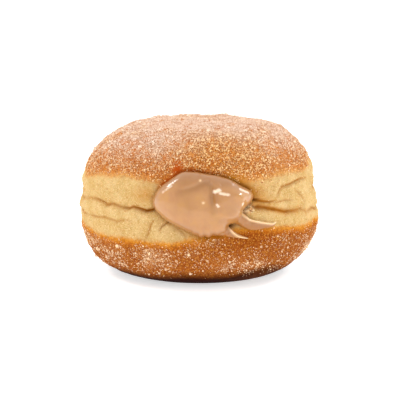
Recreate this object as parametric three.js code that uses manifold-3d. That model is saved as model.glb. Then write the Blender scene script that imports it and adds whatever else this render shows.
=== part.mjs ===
// Cream filled doughnut: a fried yeast doughnut whose filling wells out of a mouth in its side.
// Millimetres, +Z up. The origin is the centre of the flat base, and the mouth faces -Y.
//
// Places on the side are given as [along, height]: along is the distance in mm round the
// widest girth from the front, positive towards +X, and height is z.

import * as THREE from 'three';
import { mergeVertices } from 'three/addons/utils/BufferGeometryUtils.js';
import Module from 'manifold-3d';

// ---- Driving dimensions: the bare dough, a body of revolution ----
const BODY_RADIUS = 43;
const BODY_HEIGHT = 54;
const BASE_RADIUS = 22.3;
const CROWN_RADIUS = 15.5;
const LOWER_LOBE_TOP = 22.2;
const UPPER_LOBE_START = 24;
const LOWER_LOBE_POWER = 2.04;
const UPPER_LOBE_POWER = 2.4;

// ---- Relief of the dough ----
// The main crease runs all the way round between the two lobes, at this mean height.
const CREASE_HEIGHT = 27.2;
const CREASE_WAVES = [
  { cycles: 1, rise: 2.1, phase: 0.74 },
  { cycles: 2, rise: 1.6, phase: 0.06 },
  { cycles: 3, rise: 1.2, phase: -1.18 },
  { cycles: 5, rise: 0.8, phase: -0.86 },
  { cycles: 7, rise: 0.4, phase: -0.77 },
];
// The crease is deepest at the front and back and shallowest at the sides.
const CREASE_DEPTH = 0.82;
const CREASE_DEPTH_VARIES = 0.6;
const CREASE_WIDTH_ABOVE = 1.7;
const CREASE_WIDTH_BELOW = 1.1;
const CREASE_FADE = 8;

// Folds of the pale girth. bow is how far the middle stands off the straight line, to its left.
const FRONT_FOLDS = [
  { from: [28, 32.2], to: [52, 35.6], bow: 1.4, depth: 0.9, width: 1.1 },
  { from: [38.5, 33.6], to: [44.4, 26.6], bow: 1.6, depth: 0.7, width: 1.0 },
  { from: [17.6, 33.0], to: [26, 30.7], bow: -0.3, depth: 0.9, width: 0.8 },
  { from: [25, 30.4], to: [36, 30.1], bow: 0.3, depth: 0.6, width: 0.8 },
  { from: [-52, 22.9], to: [-23, 22.9], bow: 1.0, depth: 0.8, width: 1.1 },
  { from: [-15.4, 25.4], to: [-18.7, 18.8], bow: -0.4, depth: 0.9, width: 0.9 },
  { from: [-9.6, 25.4], to: [-13.8, 21.8], bow: 0.3, depth: 0.8, width: 0.8 },
];
// Folds round the back, drawn between these limits: odd ones below the crease, even ones above.
const BACK_FOLDS = {
  count: 12,
  seed: 11,
  start: 56,
  span: 158,
  below: [21, 25],
  above: [31, 36],
  length: [14, 30],
  climb: [-2, 2],
  bow: [-1.2, 1.2],
  depth: [0.6, 1.0],
  width: [0.8, 1.2],
};

// Broad unevenness: the right flank is drawn in above the crease, the left one is fuller below
// it, and the skin undulates all over.
const FLANKS = [
  { azimuth: 1.5, height: 33, lift: -1.7, spread: 0.62, reach: 8 },
  { azimuth: -1.1, height: 8, lift: 0.7, spread: 0.7, reach: 6 },
];
const SWELLS = [
  { depth: 0.30, waveX: 11, waveY: 9, tilt: 0.05, phaseX: 4.44, phaseY: 0.4 },
  { depth: 0.22, waveX: 6.1, waveY: 5.7, tilt: 0.13, phaseX: 2.1, phaseY: 0.7 },
];
// The shoulders slope, the left one more than the right, and the crown dips to the right.
const DENTS = [
  { at: [-31, 0, 51], lift: -1.1, reach: 12 },
  { at: [34, 0, 47], lift: -0.8, reach: 9 },
  { at: [6, 2, 54], lift: -0.5, reach: 8 },
];
const FOOT_FADE = 6;

// ---- Filling ----
// Rim of the filling outside the mouth: [direction in degrees, reach] from its centre.
const CREAM_CENTRE = [1.0, 31.8];
const CREAM_RIM = [
  [5, 17.7], [22, 13.9], [36, 11.9], [50, 10.2], [80, 8.8], [108, 9.9], [128, 11.8], [147, 13.1],
  [170, 16.4], [184, 17.4], [200, 15.0], [222, 12.0], [246, 11.0], [268, 11.7], [290, 12.0], [308, 13.3],
  [330, 13.3], [348, 14.1],
];
// Share of the filling's closed skin that lies outside the mouth, and its columns and rows.
const CREAM_FRONT_SHARE = 0.72;
const CREAM_COLUMNS = 44;
const CREAM_ROWS = 22;
const CREAM_PROUD = 5.2;
const CREAM_SUNK = 2.4;
const CREAM_ROOT = 6;
const CREAM_EDGE_POWER = 3.2;
const CREAM_EDGE_ROUND = 0.55;
// Lobes stand up from the filling and valleys part them; spread is [along, height].
const CREAM_LOBES = [
  { at: [-7.5, 30.5], spread: [6.0, 5.0], lift: 1.1 },
  { at: [1.2, 30.5], spread: [3.6, 5.0], lift: 0.9 },
  { at: [9.2, 30.8], spread: [4.6, 4.2], lift: 1.6 },
  { at: [12.5, 35.0], spread: [4.0, 2.0], lift: 0.9 },
  { at: [-3.0, 38.5], spread: [7.0, 1.8], lift: 0.9 },
  { at: [3.6, 34.5], spread: [1.2, 3.6], lift: -1.3 },
  { at: [0.0, 37.0], spread: [3.4, 0.9], lift: -0.8 },
  { at: [-3.4, 31.0], spread: [1.0, 4.0], lift: -0.5 },
];

// Neck and pocket: a bottle shape, turned about an axis that runs into the dough.
const POCKET_AXIS_HEIGHT = 30.5;
const POCKET_BACK = 22;
const POCKET_LENGTH = 61;
const POCKET_RADIUS = 18;
const NECK_RADIUS = 10.5;
const NECK_SHARE = 0.42;
const POCKET_FLATNESS = 0.42;
const POCKET_END_POWER = 6;
const POCKET_STEPS = 12;
const POCKET_COLUMNS = 22;

// Tails that ran down from the filling: half height and thickness, from root to tip.
const TAILS = [
  {
    route: [[10.5, 27.2], [14.2, 25.9], [18.2, 24.2], [22.5, 23.4], [26, 23.1], [29.2, 23.0]],
    rootHeight: 2.3, tipHeight: 0.35, rootThickness: 1.9, tipThickness: 0.5,
  },
  {
    route: [[4.5, 23.0], [8.2, 22.2], [11.4, 20.8], [14.2, 19.8], [17.4, 19.2]],
    rootHeight: 2.0, tipHeight: 0.3, rootThickness: 1.7, tipThickness: 0.45,
  },
];
const TAIL_LIFT = 0.25;
const TAIL_TAPER = 1.3;
const TAIL_END_POWER = 8;
const TAIL_SIDES = 8;
const TAIL_STEPS = 14;

// The dough is drawn in towards the mouth, but above it the crust swells out over the filling.
const LIP_DEPTH = 1.6;
const LIP_REACH = 4.5;
const OVERHANG_RISE = 1.6;
const OVERHANG_REACH = 7;
const OVERHANG_FOOT = 34.5;
const OVERHANG_END = -16;
const OVERHANG_FADE = [12, 4];
const GAP = 0.3;

// ---- Coarse sugar crystals, fused to the crust ----
const CRYSTAL_COUNT = 64;
const CRYSTAL_SIZE = [0.9, 1.3];
const CRYSTAL_SHAPE = [1, 0.8, 0.9];
const CRYSTAL_TURN = 3;
const CRYSTAL_SINK = 0.1;
const CRYSTAL_SEED = 7;
// Shares of the profile's length between which they lie, the heights of the browned crust below
// and above the pale girth, and the part of the front that is kept clear.
const CRYSTAL_SHARES = [0.24, 0.94];
const LOWER_CRUST = [6, 19];
const UPPER_CRUST_START = 38;
const CLEAR_FRONT = { azimuth: 0.85, low: 15, high: 46 };

// ---- Mesh resolution ----
const COLUMNS = 84;
const FINE_STEP = 0.9;
const COARSE_STEP = 3.6;
const STEP_GROWTH = 0.17;
const PROFILE_SAMPLES = 400;
const SLOPE_STEP = 0.05;
const MERGE_DISTANCE = 1e-4;

const wasm = await Module();
wasm.setup();

// ---- Small mathematics ----
// Factor, step and range of a linear congruential generator.
const RANDOM_FACTOR = 1664525;
const RANDOM_STEP = 1013904223;
const RANDOM_RANGE = 2 ** 32;

const bump = (distance, spread) => Math.exp(-((distance / spread) ** 2));

function smoothStep(value) {
  const t = Math.min(Math.max(value, 0), 1);
  return t * t * (3 - 2 * t);
}

function seededRandom(seed) {
  let state = seed;
  return () => {
    state = (state * RANDOM_FACTOR + RANDOM_STEP) % RANDOM_RANGE;
    return state / RANDOM_RANGE;
  };
}

const between = ([low, high], share) => low + (high - low) * share;

// ---- Bare dough ----
// One lobe of the wall: a quarter of a superellipse between two radii.
class LobeArc extends THREE.Curve {
  constructor(start, end, power, rising) {
    super();
    Object.assign(this, { start, end, power, rising });
  }

  getPoint(t, target = new THREE.Vector2()) {
    const angle = t * Math.PI / 2;
    const sine = Math.max(Math.sin(angle), 0) ** (2 / this.power);
    const cosine = Math.max(Math.cos(angle), 0) ** (2 / this.power);
    const across = this.rising ? sine : 1 - cosine;
    const up = this.rising ? 1 - cosine : sine;
    const r = this.start.x + (this.end.x - this.start.x) * across;
    const z = this.start.y + (this.end.y - this.start.y) * up;
    return target.set(r, z);
  }
}

function bareProfile() {
  const heel = new THREE.Vector2(BASE_RADIUS, 0);
  const low = new THREE.Vector2(BODY_RADIUS, LOWER_LOBE_TOP);
  const high = new THREE.Vector2(BODY_RADIUS, UPPER_LOBE_START);
  const brow = new THREE.Vector2(CROWN_RADIUS, BODY_HEIGHT);
  const profile = new THREE.CurvePath();
  profile.add(new THREE.LineCurve(new THREE.Vector2(0, 0), heel));
  profile.add(new LobeArc(heel, low, LOWER_LOBE_POWER, true));
  profile.add(new THREE.LineCurve(low, high));
  profile.add(new LobeArc(high, brow, UPPER_LOBE_POWER, false));
  profile.add(new THREE.LineCurve(brow, new THREE.Vector2(0, BODY_HEIGHT)));
  return profile;
}

function wallRadius(z) {
  if (z >= UPPER_LOBE_START) {
    const up = (z - UPPER_LOBE_START) / (BODY_HEIGHT - UPPER_LOBE_START);
    const reach = (1 - Math.min(up, 1) ** UPPER_LOBE_POWER) ** (1 / UPPER_LOBE_POWER);
    return CROWN_RADIUS + (BODY_RADIUS - CROWN_RADIUS) * reach;
  }
  const down = Math.min(Math.max((LOWER_LOBE_TOP - z) / LOWER_LOBE_TOP, 0), 1);
  const reach = (1 - down ** LOWER_LOBE_POWER) ** (1 / LOWER_LOBE_POWER);
  return BASE_RADIUS + (BODY_RADIUS - BASE_RADIUS) * reach;
}

// A point that stands off the bare wall by lift, at [along, z].
function wallPoint(along, z, lift) {
  const slope = (wallRadius(z + SLOPE_STEP) - wallRadius(z - SLOPE_STEP)) / (2 * SLOPE_STEP);
  const length = Math.hypot(1, slope);
  const r = wallRadius(z) + lift / length;
  const azimuth = along / BODY_RADIUS;
  return new THREE.Vector3(r * Math.sin(azimuth), -r * Math.cos(azimuth), z - lift * slope / length);
}

// ---- Relief ----
function creaseHeight(azimuth) {
  let height = CREASE_HEIGHT;
  for (const wave of CREASE_WAVES) {
    height += wave.rise * Math.cos(wave.cycles * azimuth + wave.phase);
  }
  return height;
}

function creaseRelief(azimuth, z) {
  const off = z - creaseHeight(azimuth);
  const width = off > 0 ? CREASE_WIDTH_ABOVE : CREASE_WIDTH_BELOW;
  const depth = CREASE_DEPTH * (1 + CREASE_DEPTH_VARIES * Math.cos(2 * azimuth));
  return -depth * bump(off, width);
}

function foldRelief(fold, along, z) {
  const dx = fold.to[0] - fold.from[0];
  const dz = fold.to[1] - fold.from[1];
  const length = Math.hypot(dx, dz);
  const forward = ((along - fold.from[0]) * dx + (z - fold.from[1]) * dz) / length ** 2;
  if (forward <= 0 || forward >= 1) {
    return 0;
  }
  const side = ((z - fold.from[1]) * dx - (along - fold.from[0]) * dz) / length;
  const arch = Math.sin(Math.PI * forward);
  return -fold.depth * Math.sqrt(arch) * bump(side - fold.bow * arch, fold.width);
}

// Folds round the back are like the front's, at even places with seeded lengths and tilts.
function backFolds() {
  const random = seededRandom(BACK_FOLDS.seed);
  const made = [];
  for (let i = 0; i < BACK_FOLDS.count; i += 1) {
    const start = BACK_FOLDS.start + BACK_FOLDS.span * i / BACK_FOLDS.count;
    const height = between(i % 2 ? BACK_FOLDS.below : BACK_FOLDS.above, random());
    const length = between(BACK_FOLDS.length, random());
    made.push({
      from: [start, height],
      to: [start + length, height + between(BACK_FOLDS.climb, random())],
      bow: between(BACK_FOLDS.bow, random()),
      depth: between(BACK_FOLDS.depth, random()),
      width: between(BACK_FOLDS.width, random()),
    });
  }
  return made;
}

const folds = [...FRONT_FOLDS, ...backFolds()];
const girth = 2 * Math.PI * BODY_RADIUS;

function swellRelief(x, y, z) {
  let sum = 0;
  for (const swell of SWELLS) {
    const across = Math.sin(x / swell.waveX + z * swell.tilt + swell.phaseX);
    sum += swell.depth * across * Math.sin(y / swell.waveY - z * swell.tilt + swell.phaseY);
  }
  for (const dent of DENTS) {
    sum += dent.lift * bump(Math.hypot(x - dent.at[0], y - dent.at[1], z - dent.at[2]), dent.reach);
  }
  return sum;
}

// Reach of the filling's rim in a direction, a smooth closed curve through CREAM_RIM.
function creamReach(direction) {
  const count = CREAM_RIM.length;
  const degrees = THREE.MathUtils.euclideanModulo(THREE.MathUtils.radToDeg(direction), 360);
  let next = CREAM_RIM.findIndex(([angle]) => angle > degrees);
  next = next < 0 ? count : next;
  const knot = (i) => {
    const turns = Math.floor(i / count);
    const [angle, reach] = CREAM_RIM[i - turns * count];
    return [angle + 360 * turns, reach];
  };
  const [before, start, end, after] = [next - 2, next - 1, next, next + 1].map(knot);
  const span = end[0] - start[0];
  const t = (degrees - start[0]) / span;
  const leave = span * (end[1] - before[1]) / (end[0] - before[0]);
  const arrive = span * (after[1] - start[1]) / (after[0] - start[0]);
  const blend = (2 * t - 3) * t * t;
  return start[1] * (blend + 1) - end[1] * blend
    + leave * t * (1 - t) ** 2 - arrive * t * t * (1 - t);
}

function lipRelief(along, z) {
  const across = along - CREAM_CENTRE[0];
  const up = z - CREAM_CENTRE[1];
  const outside = Math.max(Math.hypot(across, up) - creamReach(Math.atan2(up, across)), 0);
  const above = smoothStep((along - OVERHANG_END) / OVERHANG_FADE[0])
    * smoothStep((z - OVERHANG_FOOT) / OVERHANG_FADE[1]);
  const swollen = above * OVERHANG_RISE * bump(outside, OVERHANG_REACH);
  return swollen - (1 - above) * LIP_DEPTH * bump(outside, LIP_REACH);
}

function doughRelief(azimuth, r, z) {
  const along = BODY_RADIUS * azimuth;
  const foot = smoothStep(z / FOOT_FADE);
  let relief = swellRelief(r * Math.sin(azimuth), -r * Math.cos(azimuth), z);
  for (const flank of FLANKS) {
    const across = bump(azimuth - flank.azimuth, flank.spread);
    relief += flank.lift * across * bump(z - flank.height, flank.reach);
  }
  relief += creaseRelief(azimuth, z);
  for (const fold of folds) {
    relief += foldRelief(fold, along, z) + foldRelief(fold, along + girth, z);
  }
  relief += lipRelief(along, z);
  return foot * relief;
}

// ---- Solids ----
function toSolid(geometry) {
  geometry.deleteAttribute('normal');
  geometry.deleteAttribute('uv');
  const merged = mergeVertices(geometry, MERGE_DISTANCE);
  const corners = merged.index.array;
  const kept = [];
  for (let i = 0; i < corners.length; i += 3) {
    const [a, b, c] = corners.slice(i, i + 3);
    if (a !== b && b !== c && c !== a) {
      kept.push(a, b, c);
    }
  }
  return new wasm.Manifold(new wasm.Mesh({
    numProp: 3,
    vertProperties: new Float32Array(merged.attributes.position.array),
    triVerts: new Uint32Array(kept),
  }));
}

function largestPiece(solid) {
  const pieces = solid.decompose();
  return pieces.reduce((best, piece) => (piece.volume() > best.volume() ? piece : best));
}

function toMesh(name, solid, material) {
  const { vertProperties, triVerts } = solid.getMesh();
  const geometry = new THREE.BufferGeometry();
  geometry.setAttribute('position', new THREE.BufferAttribute(vertProperties, 3));
  geometry.setIndex(new THREE.BufferAttribute(triVerts, 1));
  geometry.computeVertexNormals();
  const mesh = new THREE.Mesh(geometry, material);
  mesh.name = name;
  return mesh;
}

function moveVertices(geometry, place) {
  const position = geometry.attributes.position;
  const vertex = new THREE.Vector3();
  for (let i = 0; i < position.count; i += 1) {
    vertex.fromBufferAttribute(position, i);
    position.setXYZ(i, ...place(vertex));
  }
  return geometry;
}

// Places along the profile, closest together at the crease.
function profileStations(profile) {
  const length = profile.getLength();
  let crease = 0;
  for (let i = 0; i < PROFILE_SAMPLES; i += 1) {
    const share = i / PROFILE_SAMPLES;
    crease = profile.getPoint(share).y < CREASE_HEIGHT ? share * length : crease;
  }
  const above = [];
  const below = [];
  const stepAt = (distance) => Math.min(FINE_STEP + STEP_GROWTH * distance, COARSE_STEP);
  for (let s = crease; s < length - COARSE_STEP / 2; s += stepAt(s - crease)) {
    above.push(s / length);
  }
  for (let s = crease - FINE_STEP; s > COARSE_STEP / 2; s -= stepAt(crease - s)) {
    below.unshift(s / length);
  }
  return [0, ...below, ...above, 1];
}

// The turned body with its rows bent to follow the crease and its skin moved by the relief.
function doughBody() {
  const profile = bareProfile();
  const stations = profileStations(profile);
  const rows = stations.map((station) => profile.getPoint(station));
  const turned = new THREE.LatheGeometry(rows, COLUMNS);
  return moveVertices(turned, (vertex) => {
    const azimuth = Math.atan2(vertex.x, vertex.z);
    let r = Math.hypot(vertex.x, vertex.z);
    let z = vertex.y;
    const nearest = rows.reduce((best, row, i) => {
      const miss = Math.hypot(row.x - r, row.y - z);
      return miss < best.miss ? { miss, i } : best;
    }, { miss: Infinity, i: 0 });
    const tangent = profile.getTangent(stations[nearest.i]);
    const bend = (creaseHeight(azimuth) - CREASE_HEIGHT) * bump(z - CREASE_HEIGHT, CREASE_FADE);
    if (Math.abs(z - CREASE_HEIGHT) < 2 * CREASE_FADE) {
      z += bend;
      r = wallRadius(z);
    }
    const lift = doughRelief(azimuth, r, z);
    const outR = r + lift * tangent.y;
    return [outR * Math.sin(azimuth), -outR * Math.cos(azimuth), z - lift * tangent.x];
  });
}

function creamLift(along, z, share) {
  let proud = CREAM_PROUD;
  for (const lobe of CREAM_LOBES) {
    const across = bump(along - lobe.at[0], lobe.spread[0]);
    proud += lobe.lift * across * bump(z - lobe.at[1], lobe.spread[1]);
  }
  return (proud + CREAM_SUNK) * (1 - share ** CREAM_EDGE_POWER) ** CREAM_EDGE_ROUND - CREAM_SUNK;
}

// The filling outside the mouth: a sphere whose front is spread over the wall up to the rim
// and whose back is its root inside the dough.
function creamSwell(grow) {
  const ball = new THREE.SphereGeometry(1, CREAM_COLUMNS, CREAM_ROWS);
  return moveVertices(ball, (vertex) => {
    const fromFront = Math.acos(THREE.MathUtils.clamp(vertex.y, -1, 1)) / Math.PI;
    const direction = Math.atan2(-vertex.z, vertex.x);
    const front = fromFront <= CREAM_FRONT_SHARE;
    const share = front ? fromFront / CREAM_FRONT_SHARE : (1 - fromFront) / (1 - CREAM_FRONT_SHARE);
    const reach = share * (creamReach(direction) + grow);
    const along = CREAM_CENTRE[0] + reach * Math.cos(direction);
    const z = CREAM_CENTRE[1] + reach * Math.sin(direction);
    const root = -CREAM_SUNK - CREAM_ROOT * Math.sqrt(1 - share * share) - grow;
    const lift = front ? creamLift(along, z, share) + grow * (1 - share * share) : root;
    return wallPoint(along, z, lift);
  });
}

function pocket(grow) {
  const points = [];
  for (let i = 0; i <= POCKET_STEPS; i += 1) {
    const t = i / POCKET_STEPS;
    const swell = between([NECK_RADIUS, POCKET_RADIUS], smoothStep(t / NECK_SHARE));
    const ends = Math.sqrt(1 - (2 * t - 1) ** POCKET_END_POWER);
    points.push(new THREE.Vector2(ends * (swell + grow), t * POCKET_LENGTH));
  }
  const bottle = new THREE.LatheGeometry(points, POCKET_COLUMNS);
  return moveVertices(bottle, (vertex) => {
    const y = POCKET_BACK - POCKET_LENGTH + vertex.y + grow * (2 * vertex.y / POCKET_LENGTH - 1);
    return [vertex.x, y, POCKET_AXIS_HEIGHT + vertex.z * POCKET_FLATNESS];
  });
}

// A tail: a sphere drawn out along its route, lying on the wall.
function tail(shape, grow) {
  const route = new THREE.SplineCurve(shape.route.map(([along, z]) => new THREE.Vector2(along, z)));
  const drop = new THREE.SphereGeometry(1, TAIL_SIDES, TAIL_STEPS);
  return moveVertices(drop, (vertex) => {
    const t = Math.acos(THREE.MathUtils.clamp(vertex.y, -1, 1)) / Math.PI;
    const around = Math.atan2(vertex.z, vertex.x);
    const ends = Math.sqrt(Math.max(1 - (2 * t - 1) ** TAIL_END_POWER, 0));
    const taper = (1 - t) ** TAIL_TAPER;
    const height = between([shape.tipHeight, shape.rootHeight], taper);
    const thickness = between([shape.tipThickness, shape.rootThickness], taper);
    const spot = route.getPoint(t);
    const tangent = route.getTangent(t);
    const side = ends * (height + grow) * Math.cos(around);
    const along = spot.x - tangent.y * side + tangent.x * grow * (2 * t - 1);
    const z = spot.y + tangent.x * side;
    const bed = doughRelief(spot.x / BODY_RADIUS, BODY_RADIUS, spot.y);
    const lift = bed + TAIL_LIFT + ends * (thickness + grow) * Math.sin(around);
    return wallPoint(along, z, lift);
  });
}

function fillingSolid(grow) {
  let solid = toSolid(creamSwell(grow)).add(toSolid(pocket(grow)));
  for (const shape of TAILS) {
    solid = solid.add(toSolid(tail(shape, grow)));
  }
  return solid;
}

function onClearCrust(azimuth, z) {
  const low = z > LOWER_CRUST[0] && z < LOWER_CRUST[1];
  const inFront = Math.abs(azimuth) < CLEAR_FRONT.azimuth && z > CLEAR_FRONT.low && z < CLEAR_FRONT.high;
  return (low || z > UPPER_CRUST_START) && !inFront;
}

function crystal(profile, azimuth, share, tilt, size) {
  const point = profile.getPoint(share);
  const tangent = profile.getTangent(share);
  const lift = doughRelief(azimuth, point.x, point.y) - CRYSTAL_SINK;
  const r = point.x + lift * tangent.y;
  const box = new THREE.BoxGeometry(...CRYSTAL_SHAPE.map((side) => side * size));
  box.applyMatrix4(new THREE.Matrix4().makeRotationFromEuler(tilt));
  box.translate(r * Math.sin(azimuth), -r * Math.cos(azimuth), point.y - lift * tangent.x);
  return toSolid(box);
}

// Coarse crystals lie on the browned crust, clear of the filling and its tails. Fewer are kept
// where the body is narrow, so that they are as thick there as on the girth.
function crystals() {
  const random = seededRandom(CRYSTAL_SEED);
  const profile = bareProfile();
  const placed = [];
  while (placed.length < CRYSTAL_COUNT) {
    const azimuth = (2 * random() - 1) * Math.PI;
    const share = between(CRYSTAL_SHARES, random());
    const turns = [random(), random(), random()].map((turn) => CRYSTAL_TURN * turn);
    const size = between(CRYSTAL_SIZE, random());
    const point = profile.getPoint(share);
    const keep = random() < point.x / BODY_RADIUS;
    if (keep && onClearCrust(azimuth, point.y)) {
      placed.push(crystal(profile, azimuth, share, new THREE.Euler(...turns), size));
    }
  }
  return placed;
}

function doughSolid() {
  let solid = toSolid(doughBody());
  for (const grain of crystals()) {
    solid = solid.add(grain);
  }
  return largestPiece(solid.subtract(fillingSolid(GAP)));
}

// ---- Materials and assembly ----
function doughMaterial() {
  return new THREE.MeshStandardMaterial({ color: 0xcd8f54, roughness: 0.85, metalness: 0 });
}

function fillingMaterial() {
  return new THREE.MeshStandardMaterial({ color: 0xd6a070, roughness: 0.28, metalness: 0 });
}

const doughnut = new THREE.Group();
doughnut.add(toMesh('dough', doughSolid(), doughMaterial()));
doughnut.add(toMesh('filling', fillingSolid(0), fillingMaterial()));

export default doughnut;
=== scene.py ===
"""Looks of the cream filled doughnut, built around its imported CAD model.

Lengths are in millimetres until a mesh is made, which scales them to metres.
Places on the side are [along, height]: along is measured in mm round the widest girth from
the front (-Y), positive towards +X, as in the CAD source, whose named sizes come first here.
"""

import math

import bpy
import numpy as np
from mathutils import Euler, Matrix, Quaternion, Vector


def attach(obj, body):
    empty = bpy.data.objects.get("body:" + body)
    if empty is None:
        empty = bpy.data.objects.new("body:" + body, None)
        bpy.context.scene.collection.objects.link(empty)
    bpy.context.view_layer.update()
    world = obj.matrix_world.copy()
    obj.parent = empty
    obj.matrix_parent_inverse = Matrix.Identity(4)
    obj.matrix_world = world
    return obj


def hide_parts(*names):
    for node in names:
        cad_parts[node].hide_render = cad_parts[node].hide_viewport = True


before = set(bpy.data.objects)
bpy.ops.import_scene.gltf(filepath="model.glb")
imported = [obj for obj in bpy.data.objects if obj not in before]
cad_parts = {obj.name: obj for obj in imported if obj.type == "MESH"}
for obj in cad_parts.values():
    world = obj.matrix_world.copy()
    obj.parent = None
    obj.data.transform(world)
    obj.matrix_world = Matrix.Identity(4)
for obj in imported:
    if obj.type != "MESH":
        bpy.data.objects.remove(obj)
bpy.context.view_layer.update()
MM = 0.001

# ---- The bare dough ----
BODY_RADIUS = 43
BODY_HEIGHT = 54
BASE_RADIUS = 22.3
CROWN_RADIUS = 15.5
LOWER_LOBE_TOP = 22.2
UPPER_LOBE_START = 24
LOWER_LOBE_POWER = 2.04
UPPER_LOBE_POWER = 2.4
GIRTH = 2 * math.pi * BODY_RADIUS
BASE_ROUND = BODY_RADIUS - BASE_RADIUS
CROWN_ROUND = BODY_RADIUS - CROWN_RADIUS
UPPER_LOBE_RISE = BODY_HEIGHT - UPPER_LOBE_START
PROFILE_SAMPLES = 400
SLOPE_STEP = 0.05

# ---- Relief that the CAD solid has too ----
CREASE_HEIGHT = 27.2
CREASE_WAVES = [(1, 2.1, 0.74), (2, 1.6, 0.06), (3, 1.2, -1.18), (5, 0.8, -0.86), (7, 0.4, -0.77)]
CREASE_DEPTH = 1.1
CREASE_DEPTH_MEAN = 0.75
CREASE_DEPTH_VARIES = 0.45
CREASE_WIDTH_ABOVE = 1.7
CREASE_WIDTH_BELOW = 1.1
CREASE_FADE = 8
BACK_FOLDS = {
    "count": 12, "seed": 11, "start": 56, "span": 158, "below": (21, 25), "above": (31, 36),
    "length": (14, 30), "climb": (-2, 2), "bow": (-1.2, 1.2), "depth": (0.6, 1), "width": (0.8, 1.2),
}
# azimuth and height, reaches, lift
FLANKS = [((1.5, 33), (0.62, 8), -1.7), ((-1.1, 8), (0.7, 6), 0.7)]
# depth, wave x, wave y, tilt, phase x, phase y
SWELLS = [(0.30, 11, 9, 0.05, 4.44, 0.4), (0.22, 6.1, 5.7, 0.13, 2.1, 0.7)]
# x, y, z, lift, reach: the shoulders slope, the left one more, and the crown dips to the right
DENTS = [(-31, 0, 51, -1.1, 12), (34, 0, 47, -0.8, 9), (6, 2, 54, -0.5, 8)]
# small trims of the same kind, in Blender only
CROWN_TRIMS = [(6, 0, 54, -0.6, 8), (22, 0, 51, 0.8, 8), (-27, 0, 51, -0.5, 8)]
FOOT_FADE = 6
LIP_DEPTH = 1.6
LIP_REACH = 4.5
CRYSTAL_COUNT = 64
CRYSTAL_SIZE = (0.9, 1.3)
CRYSTAL_SHAPE = (1, 0.8, 0.9)
CRYSTAL_TURN = 3
CRYSTAL_SINK = 0.1
CRYSTAL_SEED = 7
CRYSTAL_SHARES = (0.24, 0.94)
LOWER_CRUST = (6, 19)
UPPER_CRUST_START = 38
CLEAR_FRONT = {"azimuth": 0.85, "low": 15, "high": 46}
RANDOM_FACTOR = 1664525
RANDOM_STEP = 1013904223
RANDOM_RANGE = 2 ** 32

# ---- Finer relief, in Blender only ----
# The crease's own line in front, which gives way to the waves at both ends.
CREASE_TRACE = [
    (-55.5, 28), (-48, 29.3), (-43.1, 29.7), (-38.2, 28.9), (-36.8, 28.2), (-33.7, 29.1), (-29.7, 28.4),
    (-26.1, 28.2), (-24.4, 29), (-22, 28.4), (-19.8, 27.8), (-17.9, 28.1), (-15.3, 28.8),
    (18.2, 29.9), (19.9, 29.1), (23.2, 28.9), (26.1, 28.2), (29.2, 27.4), (33, 26.4), (37.9, 26.3),
    (42.3, 26.2), (44.5, 25.1), (47, 24.7), (50.5, 24.6),
]
TRACE_REACH = 57
TRACE_FADE = 8
# Small arcs round the crease, unevenly wide: count, rise, and how uneven.
SCALLOPS = (34, 0.7, 1.3)
SLIT_DEPTH = 0.6
SLIT_WIDTH = 0.42
# distance from the middle of the front, reach
SLIT_CORNER = (19, 11)
# route, depth, width
FRONT_FOLDS = [
    ([(28.4, 32), (30.4, 33.9), (32, 34.9), (34, 35.2), (38.5, 35.8), (44.2, 36.4), (52, 35.8)], 0.9, 0.6),
    ([(38, 33.8), (41.9, 31.7), (44.2, 29.4), (44.6, 26.6)], 0.45, 0.7),
    ([(17.4, 33.4), (19, 32.1), (22.1, 31.1), (25.3, 30.7), (28.5, 30.9)], 1, 0.5),
    ([(26, 29.6), (28.6, 30.3), (32, 30.5), (37, 30)], 0.5, 0.5),
    ([(-52, 22.8), (-41.8, 23.5), (-36.3, 24.1), (-33.1, 23.7), (-30.7, 23.3), (-27.5, 24.3), (-24, 24.2)],
     0.55, 0.6),
    ([(-15.9, 25.6), (-17.3, 23.2), (-18, 21), (-18.9, 18.4)], 0.6, 0.55),
    ([(-9.9, 25.6), (-11.6, 24.4), (-13.3, 23), (-14.2, 21.2)], 0.6, 0.5),
    ([(-8, 22.6), (-5, 20.2), (-4.4, 18.2)], 0.35, 0.5),
]
FOLD_SWELL = 0.3
WRINKLE_COUNT = 110
WRINKLE_SEED = 5
WRINKLE_DEPTH = (0.06, 0.2)
WRINKLE_WIDTH = (0.3, 0.55)
WRINKLE_LENGTH = (3, 11)
# at, first and last direction in degrees, count
MOUTH_CORNERS = [((18.4, 31.2), -30, 50, 11), ((-16.2, 29.6), 140, 230, 11)]
SKIN_NOISE = [(7, 0.16, 31), (3.2, 0.08, 32), (1.7, 0.045, 33)]
CRUMB_PLACE = (16.8, 29.1)
CRUMB_REACH = (2.2, 1.3)
CRUMB_RISE = 2.1
# least height, how far it varies, wavelength, seed
CRUMB_NOISE = (1.5, 0.8, 1.1, 34)
RIM_GROOVE = 0.6
RIM_GROOVE_WIDTH = 0.9
OVERHANG_RISE = 1.6
OVERHANG_REACH = 7
# start and span of the overhang's foot, up, of its left end, along, and of its rounded edge
OVERHANG_FOOT = (34.5, 4)
OVERHANG_END = (-16, 12)
OVERHANG_ROUND = (-0.8, 1.6)
# place, reach, depth: under the filling's tails and at the corners of the mouth
HOLLOWS = [
    ((10.6, 23.5), (1.3, 0.7), 1.3), ((18.6, 32.7), (0.8, 0.6), 2), ((20.6, 31.7), (1.2, 0.4), 1),
]

# ---- Filling ----
CREAM_CENTRE = (1, 31.8)
CREAM_RIM = [
    (5, 18.1), (22, 14), (36, 11.9), (50, 10.2), (80, 8.8), (108, 9.9), (128, 11.8), (147, 13.1),
    (170, 16.4), (184, 17.4), (200, 15), (222, 12), (246, 11), (268, 11.7), (290, 12), (306, 13),
    (319, 11.9), (331, 14.2), (340, 14.7), (348, 14.6),
]
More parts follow.
